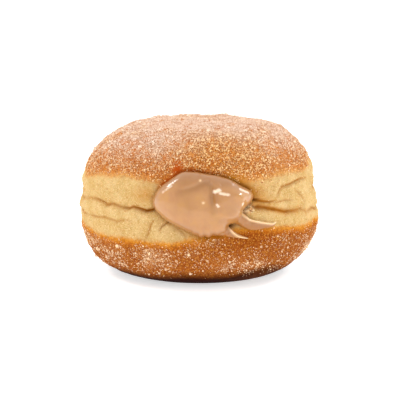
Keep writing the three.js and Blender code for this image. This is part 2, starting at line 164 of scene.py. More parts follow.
# small scallops of its lower edge: height, cycles in a turn, middle and reach in degrees
RIM_RIPPLE = (0.3, 26, 278, 26)
CREAM_PROUD = 5.2
CREAM_SUNK = 2.4
CREAM_ROOT = 6
CREAM_EDGE_POWER = 3.2
CREAM_EDGE_ROUND = 0.55
CREAM_TOP_SHARPNESS = 4
CREAM_LEAN_START = 36
CREAM_LEAN = 0.1
CREAM_SPREAD = 0.5
# at, spread, lift
CREAM_LOBES = [
    ((-8, 30), (5, 5), 0.9), ((13.4, 33.6), (2.6, 1.8), 0.7), ((7.2, 35.2), (1.3, 0.8), 0.4),
    ((5.3, 31.6), (0.9, 0.8), 0.35), ((13.2, 31.4), (0.8, 0.9), 0.4),
]
# The right lobe is a flat-topped swelling: centre, half widths, rise, and the width of its flank.
RIGHT_LOBE = ((9.2, 31), (4.9, 4.5), 1.2, 0.6)
# The upper layer folds over the middle tongue along this ledge.
CREAM_LEDGE = [
    (-7.5, 34.8), (-5.8, 35.5), (-3.4, 36.2), (-1.6, 36.8), (0.1, 37.5), (1.8, 38.1), (3.2, 38),
    (3.9, 36.6), (4.1, 34.4), (4.3, 32), (4.7, 29.8), (5.3, 28.2),
]
LEDGE_RISE = 0.4
LEDGE_DROP = 0.7
LEDGE_REACH = 3
LEDGE_WIDTH = 1.6
# route, depth, width
CREAM_GROOVES = [
    ([(-3.7, 35.3), (-3.9, 34.2), (-3.7, 32.9), (-3.2, 31.5), (-2.5, 29.7)], 0.12, 1.1),
    ([(3.2, 37.2), (3.9, 35.2), (4.1, 32.9), (4.4, 30.8), (5, 28.6)], 0.6, 1.1),
    ([(1.8, 27.6), (1.9, 26), (2.2, 23)], 0.1, 0.9),
    ([(6.5, 26.4), (8.4, 25.8), (10, 26), (12, 25.8)], 0.14, 1),
]
CREAM_RIDGES = [
    ([(4.3, 35), (5.2, 36), (6.4, 36.8)], 0.45, 0.8),
    ([(8.6, 34.3), (11, 33.6), (12.6, 32.4), (13.2, 30.6)], 0.3, 0.9),
]
CREAM_BUBBLES = [(0.2, 39.6), (1.1, 32.4)]
BUBBLE_RADIUS = 0.45
BUBBLE_RISE = 0.35
# Painted highlights, pale streaks and spots on the filling: route, half width, strength.
CREAM_HIGHLIGHTS = [
    ([(-11.6, 35.4), (-10.1, 36.6), (-8.8, 37.7)], 0.5, 0.55),
    ([(4.6, 36), (5.9, 36.6)], 0.7, 0.9),
    ([(6.2, 35.6), (8.4, 35.1)], 0.6, 0.75),
    ([(5.2, 31.9), (5.4, 31.4)], 0.6, 0.7),
    ([(12.6, 36.5), (15.6, 35)], 0.4, 0.8),
    ([(13.2, 31.9), (13.2, 31.2)], 0.5, 0.8),
]
# half width of the painted highlight along a rope, and the darkest painted shade by the ledge
ROPE_LINE = 0.48
LEDGE_SHADE = 0.75
# painted shade on the filling's rim: start and span, against its edge, and where the web has none
CREAM_RIM_SHADE = (-3, 2.8)
WEB_SPOT = ((11.5, 25.4), (4, 2.6))
CREAM_NOISE = [(7, 0.05, 41), (2.6, 0.02, 42)]
CREAM_VOXEL = 0.17
CREAM_SMOOTHING = 5
# how far the cut in the dough stays within the filling's skin, there and in the pocket
CUT_INSET = 0.8
CUT_POCKET_INSET = 0.24
CUT_VOXEL = 0.8
POCKET_AXIS_HEIGHT = 30.5
POCKET_BACK = 22
POCKET_LENGTH = 61
POCKET_RADIUS = 18
NECK_RADIUS = 10.5
NECK_SHARE = 0.42
POCKET_FLATNESS = 0.42
# The two tails, each a film with a rope on it, and the thin web that joins the upper one to the
# body of the cream: name, route, half heights, thicknesses, lift above the dough.
STRANDS = [
    ("upper_film",
     [(10.5, 27.6), (14.2, 25.8), (15.7, 24.6), (17.1, 23.8), (19.3, 23.3), (21.6, 23.15), (24, 23.05),
      (27.4, 23.1)],
     [3, 2.5, 2.1, 1.95, 1.75, 1.4, 1, 0.7], [5.2, 3.4, 2.2, 1.3, 0.8, 0.6, 0.5, 0.4], 0.2),
    ("web", [(6, 27.8), (9.5, 26.9), (12.5, 25.6), (15.3, 24.4), (18, 23.7)],
     [2.6, 2.4, 1.7, 1.2, 0.7], [5.2, 4.4, 2.7, 1.3, 0.5], 0.2),
    ("upper_rope",
     [(13, 31.6), (13.9, 29.4), (14.2, 27.9), (15.1, 26.9), (17.2, 25.4), (20.1, 24.5), (23.2, 23.8),
      (25.2, 23.5), (27.4, 24)],
     [0.6, 0.5, 0.42, 0.38, 0.34, 0.31, 0.3, 0.3, 0.26],
     [2.6, 2.2, 1.6, 1.2, 0.9, 0.75, 0.65, 0.6, 0.4], 0.9),
    ("lower_film",
     [(4, 23.2), (7, 22.4), (9.3, 21.6), (11, 20.7), (12.8, 20.1), (14.7, 19.5), (17, 18.9)],
     [2.6, 2.4, 2.1, 1.3, 0.8, 0.5, 0.25], [5, 3.6, 2.2, 1, 0.6, 0.45, 0.25], 0.2),
    ("lower_rope",
     [(9.2, 24.6), (9.7, 23.5), (10.2, 22.6), (11.1, 21.6), (12, 20.8), (13, 20.1), (14.4, 19.6),
      (16.8, 19.1)],
     [0.55, 0.48, 0.42, 0.38, 0.34, 0.31, 0.28, 0.22], [2.2, 1.8, 1.3, 0.95, 0.7, 0.55, 0.45, 0.35], 0.8),
]
# start, end, reach: where no sugar lies
STRAND_GUARDS = [
    ((10, 27), (18.2, 24), 2.3), ((18.2, 24), (28.5, 23.2), 1.2),
    ((3, 23), (10, 22), 2.2), ((10, 21.8), (17.5, 19.3), 1),
]

# ---- Mesh resolution ----
COLUMNS = 460
FRONT_CROWDING = 0.32
CREASE_STEP = 0.2
CREASE_REACH = 1.6
GIRTH_STEP = 0.34
GIRTH_FOOT = 15
GIRTH_TOP = 42
CREST_STEP = 0.72
BASE_STEP = 2

# ---- Browning, and painted shade ----
# The pale girth lies between two wavy edges: cycles, rise, phase.
BAND_TOP = 39.2
BAND_TOP_WAVES = [(1, 1.2, -1.65), (3, 0.64, 1.51), (5, 0.39, -2.36), (8, 0.52, 0.15), (13, 0.3, 1)]
BAND_FOOT = 19
BAND_FOOT_WAVES = [(1, 1.3, -1.56), (2, 1.06, -1.59), (3, 0.76, -1.72), (5, 0.39, -2.12), (8, 0.38, -1.68)]
BAND_TOP_EDGE = 5.5
BAND_FOOT_EDGE = 6
# along, reach, rise
BAND_FOOT_SHIFTS = [(19, 8, 0.5), (42, 9, -1.8)]
# Spots are given as place, reaches along and up, strength.
PALE_SHOULDER = [((33, 45), (10, 5), 0.3)]
# The browned lip over the filling's left side, darkened also with painted shade: start and span, along and
# up.
LIP_END = (3, -6)
LIP_FOOT = (33, 6)
LIP_WIDTH = 1.3
LIP_PATCH = (-8, 42.3)
LIP_PATCH_REACH = 2.4
# The dark foot, part browning and part painted shade where it meets the floor, whose strength shifts too.
HEEL_HEIGHT = 8
HEEL_WAVES = [(3, 1, 0), (8, 0.5, 1)]
HEEL_SHIFTS = [(31, 13, 2.6), (-5, 14, -0.9)]
HEEL_FADES = [(31, 13, -0.2)]
HEEL_EDGE = 5.6
HEEL_POWER = 1.7
# Painted shade at the right corner of the filling, on its left, and under the tails.
CORNER_SHADES = [((20.5, 31), (6, 2.4), 0.7), ((20.5, 34.9), (4, 2.2), 0.5)]
CHEEK_SHADE = [((-20, 33.4), (4, 3), 0.55)]
HOLE_SHADE = [((13, 22.7), (3.2, 1.3), 0.35)]
# The shade over the filling's right end: strength, reach, start and span along and up.
BROW = (0.95, 3.4, (7, 5), (30.5, 3))
TUFT_REACH = (2, 1.2)
# on the right, the crease's painted shade is wider and darker: middle and reach
CREASE_RIGHT = (28, 14)

# ---- Sugar: count, smallest, largest, seed ----
SUGAR_DUST = (49000, 0.24, 0.4, 101)
SUGAR_FINE = (24000, 0.28, 0.48, 202)
SUGAR_COARSE = (2600, 0.42, 0.7, 303)
# how far a grain's centre stands off the skin, in shares of its size
GRAIN_LIFT = 0.12
# Drifts on the lower crust in front: place, spread, strength.
SUGAR_DRIFTS = [
    ((-36, 12), (6, 4), 0.5), ((-17, 12), (6, 3.6), 0.9), ((-2.5, 14.8), (2.6, 2.6), 0.35),
    ((1.5, 18.6), (5, 1.6), 0.8), ((12, 9.4), (7, 2.6), 0.35), ((22, 8.6), (4, 2), 0.5),
    ((33, 17), (2.5, 2), 0.2),
]
BARE_SPOT = [((19.5, 18), (7.5, 3.2), 0.8)]
SHOULDER_SUGAR = [((29, 45), (12, 4), 0.3)]
SUGAR_SPOTS = [(CRUMB_PLACE, (1.8, 1), 0.6), ((19, 38.5), (8, 3), 0.12)]
# The drifts round the back, and the ends of what each draws.
BACK_DRIFTS = {
    "count": 16, "seed": 9, "start": 46, "apart": (0.2, 0.8), "height": (9, 16),
    "reach": ((3, 7), (2, 3.5)), "strength": (0.5, 1),
}
# Grains lie on the skin only: how deep it may be, the crown's height, the lowest height, and
# the distance from the filling.
SKIN_DEPTH = 4
CROWN_FOOT = 50
SUGAR_FOOT = 1
RIM_CLEAR = 0.5

# ---- Tones ----
# Of the crust, from its thin edge to its darkest, above and below the girth.
LOW_CRUST = [(0.1, (210, 168, 104)), (0.45, (204, 134, 42)), (0.75, (178, 96, 12)), (1, (138, 64, 4))]
HIGH_CRUST = [(0.1, (210, 168, 104)), (0.5, (206, 144, 80)), (0.8, (194, 112, 46)), (1, (178, 94, 36))]
# x, y, z of the place over the mouth where sugar and its painted sheen are least white
OVER_MOUTH = (9, -42, 42)

# ---- Stage ----
CAMERA_DISTANCE = 520
CAMERA_ELEVATION = math.radians(9.5)
CAMERA_PIVOT = 28
CAMERA_AIM = (0.15, 0, 25.2)
LENS = 129.2
SENSOR_WIDTH = 36
CLIP_START = 0.01
FLOOR_WIDTH = 6
FLOOR_SHADE = 0.8
FLOOR_GLOW = 0.6
SKY_STRENGTH = 1.18
LIGHT_AIM = (0, 0, 0.03)
# name, place, size, power
LIGHTS = [("left", (-0.43, 0.03, 0.48), 0.15, 0.9), ("right", (0.5, 0.16, 0.46), 0.14, 1.17)]


# ---- Small mathematics ----
def bump(distance, spread):
    return np.exp(-((distance / spread) ** 2))


def spot(along, z, at, reach):
    """A soft spot about a place, with its reaches along and up."""
    return bump(along - at[0], reach[0]) * bump(z - at[1], reach[1])


def spots(along, z, given):
    """The sum of soft spots: place, reach, strength."""
    return sum(strength * spot(along, z, at, reach) for at, reach, strength in given)


def smooth_step(value):
    t = np.clip(value, 0, 1)
    return t * t * (3 - 2 * t)


def climb(value, start, span):
    """From 0 at the start to 1 after the span. The span is negative where it falls."""
    return smooth_step((value - start) / span)


def fade_ends(share):
    """1 in the middle of a route and 0 at its ends."""
    return np.sqrt(np.sin(np.pi * share))


def between(span, share):
    return span[0] + (span[1] - span[0]) * share


def around(columns):
    """Even directions all round."""
    return np.linspace(0, 2 * np.pi, columns, endpoint=False)


def wavy(level, waves, azimuth, shifts=()):
    """A level with waves round the body (cycles, rise, phase) and shifts (along, reach, rise)."""
    for cycles, rise, phase in waves:
        level = level + rise * np.cos(cycles * azimuth + phase)
    for at, reach, rise in shifts:
        level = level + rise * bump(BODY_RADIUS * azimuth - at, reach)
    return level


def seeded_random(seed):
    """The same simple generator that the CAD source uses, so that both make the same draws."""
    state = seed
    while True:
        state = (state * RANDOM_FACTOR + RANDOM_STEP) % RANDOM_RANGE
        yield state / RANDOM_RANGE


def wave_noise(points, wavelength, seed, waves=28):
    """Smooth noise of about one wavelength, as a sum of waves in seeded directions."""
    rng = np.random.default_rng(seed)
    direction = rng.normal(size=(waves, 3))
    direction /= np.linalg.norm(direction, axis=1)[:, None]
    pace = 2 * np.pi / wavelength * rng.uniform(0.7, 1.4, waves)
    phase = rng.uniform(0, 2 * np.pi, waves)
    total = np.zeros(len(points))
    for way, p in zip(direction * pace[:, None], phase):
        total += np.sin(points @ way + p)
    return total * math.sqrt(2 / waves)


def noises(points, given):
    """The sum of noises: wavelength, depth, seed."""
    return sum(depth * wave_noise(points, wavelength, seed) for wavelength, depth, seed in given)


def curve_through(knots, values, slopes, at):
    """A smooth curve through values at knots, with those slopes."""
    i = np.clip(np.searchsorted(knots, at, side="right") - 1, 0, len(knots) - 2)
    span = knots[i + 1] - knots[i]
    t = (at - knots[i]) / span
    blend = (2 * t - 3) * t * t
    leave = span * slopes[i] * t * (1 - t) ** 2
    return values[i] * (blend + 1) - values[i + 1] * blend + leave - span * slopes[i + 1] * t * t * (1 - t)


def route_field(route, along, z, reach):
    """The points within reach of a route: which they are, their distance, positive on the left
    of the way, and how far on they are, from 0 to 1."""
    route = np.array(route, float)
    middle = route[:, 0].mean()
    along = (along - middle + GIRTH / 2) % GIRTH - GIRTH / 2
    route[:, 0] -= middle
    low, high = route.min(0) - reach, route.max(0) + reach
    near = np.nonzero((along > low[0]) & (along < high[0]) & (z > low[1]) & (z < high[1]))[0]
    along, z = along[near], z[near]
    run = np.concatenate([[0], np.cumsum(np.hypot(*np.diff(route, axis=0).T))])
    gap = np.full(near.shape, np.inf)
    side, share = np.zeros(near.shape), np.zeros(near.shape)
    for i in range(len(route) - 1):
        start, step, length = route[i], route[i + 1] - route[i], run[i + 1] - run[i]
        away, up = along - start[0], z - start[1]
        t = np.clip((away * step[0] + up * step[1]) / length ** 2, 0, 1)
        miss = np.hypot(away - t * step[0], up - t * step[1])
        closer = miss < gap
        gap = np.where(closer, miss, gap)
        side = np.where(closer, np.sign(up * step[0] - away * step[1]) * miss, side)
        share = np.where(closer, (run[i] + t * length) / run[-1], share)
    return near, side, share


# ---- The bare wall ----
def wall_radius(z):
    up = np.clip((z - UPPER_LOBE_START) / UPPER_LOBE_RISE, 0, 1)
    down = np.clip((LOWER_LOBE_TOP - z) / LOWER_LOBE_TOP, 0, 1)
    above = CROWN_RADIUS + CROWN_ROUND * (1 - up ** UPPER_LOBE_POWER) ** (1 / UPPER_LOBE_POWER)
    below = BASE_RADIUS + BASE_ROUND * (1 - down ** LOWER_LOBE_POWER) ** (1 / LOWER_LOBE_POWER)
    return np.where(z >= UPPER_LOBE_START, above, below)


def round_body(azimuth, r, z):
    """Points at a radius and height, with azimuth 0 in front, at -Y."""
    return np.stack([r * np.sin(azimuth), -r * np.cos(azimuth), z], -1)


def on_side(points):
    """Azimuth, distance along the side and height of points."""
    azimuth = np.arctan2(points[:, 0], -points[:, 1])
    return azimuth, BODY_RADIUS * azimuth, points[:, 2]


def wall_points(along, z, lift):
    """Points that stand off the bare wall by lift."""
    slope = (wall_radius(z + SLOPE_STEP) - wall_radius(z - SLOPE_STEP)) / (2 * SLOPE_STEP)
    length = np.hypot(1, slope)
    return round_body(along / BODY_RADIUS, wall_radius(z) + lift / length, z - lift * slope / length)


def bare_profile():
    """Radius and height along the profile, from the middle of the base to the crown."""
    angle = np.linspace(0, np.pi / 2, PROFILE_SAMPLES)
    out_low, up_low = (way(angle) ** (2 / LOWER_LOBE_POWER) for way in (np.sin, np.cos))
    up_high, out_high = (way(angle) ** (2 / UPPER_LOBE_POWER) for way in (np.sin, np.cos))
    low_z, high_z = LOWER_LOBE_TOP * (1 - up_low), UPPER_LOBE_START + UPPER_LOBE_RISE * up_high
    r = np.concatenate([[0], BASE_RADIUS + BASE_ROUND * out_low, CROWN_RADIUS + CROWN_ROUND * out_high, [0]])
    z = np.concatenate([[0], low_z, high_z, [BODY_HEIGHT]])
    return np.concatenate([[0], np.cumsum(np.hypot(np.diff(r), np.diff(z)))]), r, z


PROFILE_RUN, PROFILE_R, PROFILE_Z = bare_profile()


def profile_at(run, step=0.2):
    """Radius, height and outward normal at distances along the profile."""
    r, z = (np.interp(run, PROFILE_RUN, way) for way in (PROFILE_R, PROFILE_Z))
    away, rise = (
        np.interp(run + step, PROFILE_RUN, way) - np.interp(run - step, PROFILE_RUN, way)
        for way in (PROFILE_R, PROFILE_Z))
    length = np.hypot(away, rise)
    return r, z, rise / length, -away / length


# ---- Relief of the dough ----
def crease_height(azimuth):
    """The waves that the CAD crease follows, broken into small arcs, and its own line in front."""
    height = wavy(CREASE_HEIGHT, CREASE_WAVES, azimuth)
    count, rise, uneven = SCALLOPS
    arcs = np.abs(np.sin(count / 2 * azimuth + uneven * np.sin(3 * azimuth))) - 0.6
    height = height + rise * arcs
    along = BODY_RADIUS * azimuth
    trace = np.interp(along, *np.transpose(CREASE_TRACE))
    return height + climb(np.abs(along), TRACE_REACH, -TRACE_FADE) * (trace - height)


def slit_depth(azimuth):
    """The slit in the crease opens towards the corners of the mouth, and nearly closes elsewhere."""
    varies = 0.6 + 0.4 * np.sin(7 * azimuth + 1) * np.sin(4 * azimuth)
    corner = bump(np.abs(BODY_RADIUS * azimuth) - SLIT_CORNER[0], SLIT_CORNER[1])
    return SLIT_DEPTH * (varies + 0.5 * corner)


def crease_relief(azimuth, z):
    off = z - crease_height(azimuth)
    width = np.where(off > 0, CREASE_WIDTH_ABOVE, CREASE_WIDTH_BELOW)
    varies = CREASE_DEPTH_MEAN + CREASE_DEPTH_VARIES * np.cos(2 * azimuth)
    return -varies * CREASE_DEPTH * bump(off, width) - slit_depth(azimuth) * bump(off, SLIT_WIDTH)


def bowed_route(start, end, bow, knots=5):
    """A route from start to end that bows out to its left."""
    t = np.linspace(0, 1, knots)[:, None]
    across = np.array([start[1] - end[1], end[0] - start[0]]) / math.dist(start, end)
    return np.array(start) + t * (np.array(end) - start) + bow * np.sin(np.pi * t) * across


def back_folds():
    given, draw, folds = BACK_FOLDS, seeded_random(BACK_FOLDS["seed"]), []
    for i in range(given["count"]):
        start = given["start"] + given["span"] * i / given["count"]
        height = between(given["below" if i % 2 else "above"], next(draw))
        end = (start + between(given["length"], next(draw)), height + between(given["climb"], next(draw)))
        route = bowed_route((start, height), end, between(given["bow"], next(draw)))
        folds.append((route, between(given["depth"], next(draw)), between(given["width"], next(draw))))
    return folds


def moved(start, tilt, length):
    return (start[0] + length * math.cos(tilt), start[1] + length * math.sin(tilt))


def wrinkle(rng, start, tilt, length):
    route = bowed_route(start, moved(start, tilt, length), rng.normal() * 0.06 * length, 4)
    return route, rng.uniform(*WRINKLE_DEPTH), rng.uniform(*WRINKLE_WIDTH)


def wrinkles():
    """Fine wrinkles: some lie along the pale girth and some run out from the mouth's corners."""
    rng = np.random.default_rng(WRINKLE_SEED)
    made = []
    for _ in range(WRINKLE_COUNT):
        along = rng.uniform(-0.5, 0.5) * GIRTH
        start = (along, crease_height(along / BODY_RADIUS) + rng.normal() * 4.2)
        made.append(wrinkle(rng, start, rng.normal() * 0.35, rng.uniform(*WRINKLE_LENGTH)))
    for corner, first, last, count in MOUTH_CORNERS:
        for tilt in np.radians(np.linspace(first, last, count) + rng.normal(size=count) * 4):
            start = moved(corner, tilt, rng.uniform(0.2, 2.5))
            made.append(wrinkle(rng, start, tilt, rng.uniform(3, 9)))
    return made


FOLDS = FRONT_FOLDS + back_folds()
WRINKLES = wrinkles()


def fold_relief(along, z):
    """Folds and wrinkles, each a groove with its left side swollen over it."""
    relief = np.zeros(along.shape)
    for route, depth, width in FOLDS + WRINKLES:
        near, side, share = route_field(route, along, z, 5 * width)
        swell = FOLD_SWELL * bump(side - 2.4 * width, 1.7 * width)
        relief[near] += depth * fade_ends(share) * (swell - bump(side, width))
    return relief


def cream_reach(direction):
    """Reach of the filling's rim in a direction, a smooth closed curve through CREAM_RIM."""
    angles, reaches = np.transpose(CREAM_RIM)
    angles = np.concatenate([angles - 360, angles, angles + 360])
    reaches = np.tile(reaches, 3)
    slopes = np.zeros_like(reaches)
    slopes[1:-1] = (reaches[2:] - reaches[:-2]) / (angles[2:] - angles[:-2])
    degrees = np.degrees(direction) % 360
    height, cycles, middle, reach = RIM_RIPPLE
    ripple = height * np.sin(np.radians(cycles * degrees)) * bump(degrees - middle, reach)
    return curve_through(angles, reaches, slopes, degrees) + ripple


def outside_rim(along, z):
    """Distance outside the filling's rim, negative within it."""
    across, up = along - CREAM_CENTRE[0], z - CREAM_CENTRE[1]
    return np.hypot(across, up) - cream_reach(np.arctan2(up, across))


def by_rim(along, z, reach):
    """1 at the filling's rim and within it, and fading outside it."""
    return bump(np.maximum(outside_rim(along, z), 0), reach)


def mouth_relief(along, z, points):
    """The dough is pressed in round the filling, hangs over it above, and is torn at one corner."""
    signed = outside_rim(along, z) - CREAM_SPREAD
    outside = np.maximum(signed, 0)
    above = climb(z, *OVERHANG_FOOT) * climb(along, *OVERHANG_END)
    pressed = LIP_DEPTH * bump(outside, LIP_REACH) + RIM_GROOVE * bump(outside, RIM_GROOVE_WIDTH)
    overhang = OVERHANG_RISE * bump(outside - 0.5, OVERHANG_REACH) * climb(signed, *OVERHANG_ROUND)
    crumb = CRUMB_RISE * spot(along, z, CRUMB_PLACE, CRUMB_REACH)
    least, varies, *noise = CRUMB_NOISE
    crumb = crumb * (least + varies * wave_noise(points, *noise))
    return above * overhang - (1 - above) * pressed - spots(along, z, HOLLOWS) + crumb


def swell_relief(points):
    x, y, z = points.T
    total = 0
    for depth, wave_x, wave_y, tilt, phase_x, phase_y in SWELLS:
        across = np.sin(x / wave_x + z * tilt + phase_x)
        total = total + depth * across * np.sin(y / wave_y - z * tilt + phase_y)
    for *centre, lift, reach in DENTS + CROWN_TRIMS:
        total = total + lift * bump(np.linalg.norm(points - centre, axis=1), reach)
    return total


def dough_relief(azimuth, r, z):
    along = BODY_RADIUS * azimuth
    points = round_body(azimuth, r, z)
    relief = swell_relief(points) + spots(azimuth, z, FLANKS) + crease_relief(azimuth, z)
    relief = relief + fold_relief(along, z) + mouth_relief(along, z, points)
    return (relief + noises(points, SKIN_NOISE)) * smooth_step(z / FOOT_FADE)


# ---- Meshes ----
def add_object(name, data):
    made = bpy.data.objects.new(name, data)
    bpy.context.scene.collection.objects.link(made)
    return made


def mesh_object(name, vertices, faces):
    mesh = bpy.data.meshes.new(name)
    mesh.from_pydata((np.asarray(vertices) * MM).tolist(), [], [list(map(int, f)) for f in faces])
    mesh.update()
    return add_object(name, mesh)


def ringed_object(name, rings, low_pole, high_pole):
    """A closed skin of rings, between two poles."""
    count, columns = rings.shape[:2]
    vertices = np.vstack([[low_pole], rings.reshape(-1, 3), [high_pole]])
    column = np.arange(columns)
    after = (column + 1) % columns
    top = 1 + (count - 1) * columns
    faces = [(0, 1 + b, 1 + a) for a, b in zip(column, after)]
    for low in range(1, top, columns):
        high = low + columns
        faces += [(low + a, low + b, high + b, high + a) for a, b in zip(column, after)]
    faces += [(top + columns, top + a, top + b) for a, b in zip(column, after)]
    return mesh_object(name, vertices, faces)


def set_all(thing, **settings):
    for key, value in settings.items():
        setattr(thing, key, value)
    return thing


def modify(piece, kind, **settings):
    """Adds a modifier and applies it."""
    made = set_all(piece.modifiers.new(kind, kind), **settings)
    bpy.context.view_layer.objects.active = piece
    bpy.ops.object.modifier_apply(modifier=made.name)


def join(pieces):
    bpy.ops.object.select_all(action="DESELECT")
    for piece in pieces:
        piece.select_set(True)
    bpy.context.view_layer.objects.active = pieces[0]
    bpy.ops.object.join()
    return pieces[0]


def combine(piece, operation, other):
    modify(piece, "BOOLEAN", operation=operation, solver="MANIFOLD", object=other)
    bpy.data.objects.remove(other)


def mesh_points(piece):
    points = np.empty(len(piece.data.vertices) * 3, np.float32)
    piece.data.vertices.foreach_get("co", points)
    return points.reshape(-1, 3).astype(float) / MM


def shade_smooth(piece):
    piece.data.polygons.foreach_set("use_smooth", [True] * len(piece.data.polygons))


def paint(piece, **layers):
    """Gives each point of a piece its share of named layers, which the materials read."""
    for name, values in layers.items():
        layer = piece.data.attributes.new(name, "FLOAT", "POINT")
        layer.data.foreach_set("value", values.astype(np.float32))


def lay(layer, near, shares):
    """Strengthens a layer at some of its points, where the shares are greater."""
    layer[near] = np.maximum(layer[near], shares)


# ---- Dough ----
def dough_stations():
    """Distances along the profile of the rows of vertices, closest about the crease."""
    stations = []
    run = BASE_STEP
    while run < PROFILE_RUN[-1] - CREST_STEP / 2:
        stations.append(run)
        height = np.interp(run, PROFILE_RUN, PROFILE_Z)
        step = CREST_STEP
        if height <= 0 and run < BASE_RADIUS - 2 * BASE_STEP:
            step = BASE_STEP
        elif abs(height - CREASE_HEIGHT) < CREASE_REACH:
            step = CREASE_STEP
        elif GIRTH_FOOT < height < GIRTH_TOP:
            step = GIRTH_STEP
        run += step
    return np.array(stations)


def make_dough():
    row_r, row_z, normal_r, normal_z = profile_at(dough_stations())
    turn = np.linspace(-np.pi, np.pi, COLUMNS, endpoint=False)
    az, r = np.meshgrid(turn - FRONT_CROWDING * np.sin(turn), row_r)
    z = np.broadcast_to(row_z[:, None], az.shape)
    bend = (crease_height(az) - CREASE_HEIGHT) * bump(z - CREASE_HEIGHT, CREASE_FADE)
    near = np.abs(z - CREASE_HEIGHT) < 2 * CREASE_FADE
    z = np.where(near, z + bend, z)
    r = np.where(near, wall_radius(z), r)
    lift = dough_relief(az.ravel(), r.ravel(), z.ravel()).reshape(z.shape)
    r = r + lift * normal_r[:, None]
    z = z + lift * normal_z[:, None]
    rings = round_body(az, r, z)
    return ringed_object("dough_crust", rings, (0, 0, 0), rings[-1].mean(0) * [0, 0, 1])


# ---- Filling ----
def cream_lift(along, z, share, direction):
    along, z, share = np.atleast_1d(along), np.atleast_1d(z), np.atleast_1d(share)
    proud = CREAM_PROUD + spots(along, z, CREAM_LOBES)
    at, half, rise, flank = RIGHT_LOBE
    away = np.hypot((along - at[0]) / half[0], (z - at[1]) / half[1])
    proud += rise * smooth_step((1 + flank / 2 - away) / flank)
    near, side, way = route_field(CREAM_LEDGE, along, z, 4 * LEDGE_REACH)
    over = smooth_step(side / LEDGE_WIDTH + 0.5)
    fade = np.exp(-np.abs(side) / LEDGE_REACH) * fade_ends(way)
    proud[near] += fade * (over * LEDGE_RISE - (1 - over) * LEDGE_DROP)
    for routes, way_out in ((CREAM_GROOVES, -1), (CREAM_RIDGES, 1)):
        for route, height, width in routes:
            near, side, way = route_field(route, along, z, 4 * width)
            proud[near] += way_out * height * fade_ends(way) * bump(side, width)
    for at in CREAM_BUBBLES:
        proud += BUBBLE_RISE * bump(np.hypot(along - at[0], z - at[1]), BUBBLE_RADIUS)
    proud += noises(np.stack([along, z, 0 * z], -1), CREAM_NOISE)
    proud -= CREAM_LEAN * np.maximum(z - CREAM_LEAN_START, 0)
    power = CREAM_EDGE_POWER + CREAM_TOP_SHARPNESS * climb(np.sin(direction), -0.15, 0.8)
    edge = (1 - share ** power) ** CREAM_EDGE_ROUND
    return (proud + CREAM_SUNK) * edge - CREAM_SUNK


def cream_swell(grow, front_rings=110, back_rings=12, columns=420):
    """The filling outside the mouth, with its root in the dough."""
    direction = around(columns)
    reach = cream_reach(direction) + grow

    def ring(share):
        away = share * reach
        return CREAM_CENTRE[0] + away * np.cos(direction), CREAM_CENTRE[1] + away * np.sin(direction)

    rings = []
    for share in 1 - (1 - np.linspace(0, 1, front_rings + 1)[1:]) ** 1.5:
        rings.append(wall_points(*ring(share), cream_lift(*ring(share), share, direction)))
    for share in np.linspace(1, 0, back_rings + 1)[1:-1]:
        rings.append(wall_points(*ring(share), -CREAM_SUNK - CREAM_ROOT * math.sqrt(1 - share * share)))
    nose = wall_points(*CREAM_CENTRE, cream_lift(*CREAM_CENTRE, 0, 0)[0])
    heart = wall_points(*CREAM_CENTRE, -CREAM_SUNK - CREAM_ROOT)
    return ringed_object("cream_swell", np.array(rings), nose, heart)


def pocket(grow, steps=40, columns=64):
    """The neck and pocket, a bottle shape that runs into the dough."""
    t = np.linspace(0, 1, steps + 1)[1:-1, None]
    swell = NECK_RADIUS + (POCKET_RADIUS - NECK_RADIUS) * smooth_step(t / NECK_SHARE)
    r = np.sqrt(1 - (2 * t - 1) ** 6) * (swell + grow)
    x = r * np.cos(around(columns))
    y = POCKET_BACK - POCKET_LENGTH + t * POCKET_LENGTH
    z = POCKET_AXIS_HEIGHT + r * np.sin(around(columns)) * POCKET_FLATNESS
    rings = np.stack([x, np.broadcast_to(y, x.shape), z], -1)[:, ::-1]
    front = (0, POCKET_BACK - POCKET_LENGTH, POCKET_AXIS_HEIGHT)
    return ringed_object("pocket", rings, front, (0, POCKET_BACK, POCKET_AXIS_HEIGHT))


def strand(name, route, half_heights, thicknesses, lift, steps=90, columns=20):
    """A rope or film of cream that lies on the dough."""
    t = np.linspace(0, 1, steps + 1)[1:-1]
    knots = np.linspace(0, 1, len(route))
    along, z = (curve_through(knots, way, np.gradient(way, knots), t) for way in np.transpose(route))
    step = np.gradient(np.stack([along, z], -1), axis=0)
    step /= np.linalg.norm(step, axis=1)[:, None]
    ends = np.sqrt(1 - (2 * t - 1) ** 10)
    tall, thick = (
        ends * np.interp(t, np.linspace(0, 1, len(given)), given) for given in (half_heights, thicknesses))
    side = tall[:, None] * np.cos(around(columns))
    bed = dough_relief(along / BODY_RADIUS, wall_radius(z), z) + lift
    rise = bed[:, None] + thick[:, None] * np.sin(around(columns))
    rings = wall_points(along[:, None] - step[:, 1:] * side, z[:, None] + step[:, :1] * side, rise)
    poles = [wall_points(*route[i], bed[i]) for i in (0, -1)]
    return ringed_object(name, rings[:, ::-1], *poles)


def make_filling():
    filling = join([cream_swell(CREAM_SPREAD)] + [strand(*given) for given in STRANDS])
    filling.name = "cream_filling"
    modify(filling, "REMESH", mode="VOXEL", voxel_size=CREAM_VOXEL * MM)
    modify(filling, "SMOOTH", factor=0.5, iterations=CREAM_SMOOTHING)
    combine(filling, "UNION", pocket(0))
    shade_smooth(filling)
    return filling


def cut_pocket(dough):
    """Opens the mouth and the pocket in the dough, just inside the filling's own skin."""
    swell = cream_swell(CREAM_SPREAD - CUT_INSET, front_rings=30, back_rings=10, columns=120)
    cutter = join([swell, pocket(-CUT_POCKET_INSET)])
    modify(cutter, "REMESH", mode="VOXEL", voxel_size=CUT_VOXEL * MM)
    combine(dough, "DIFFERENCE", cutter)


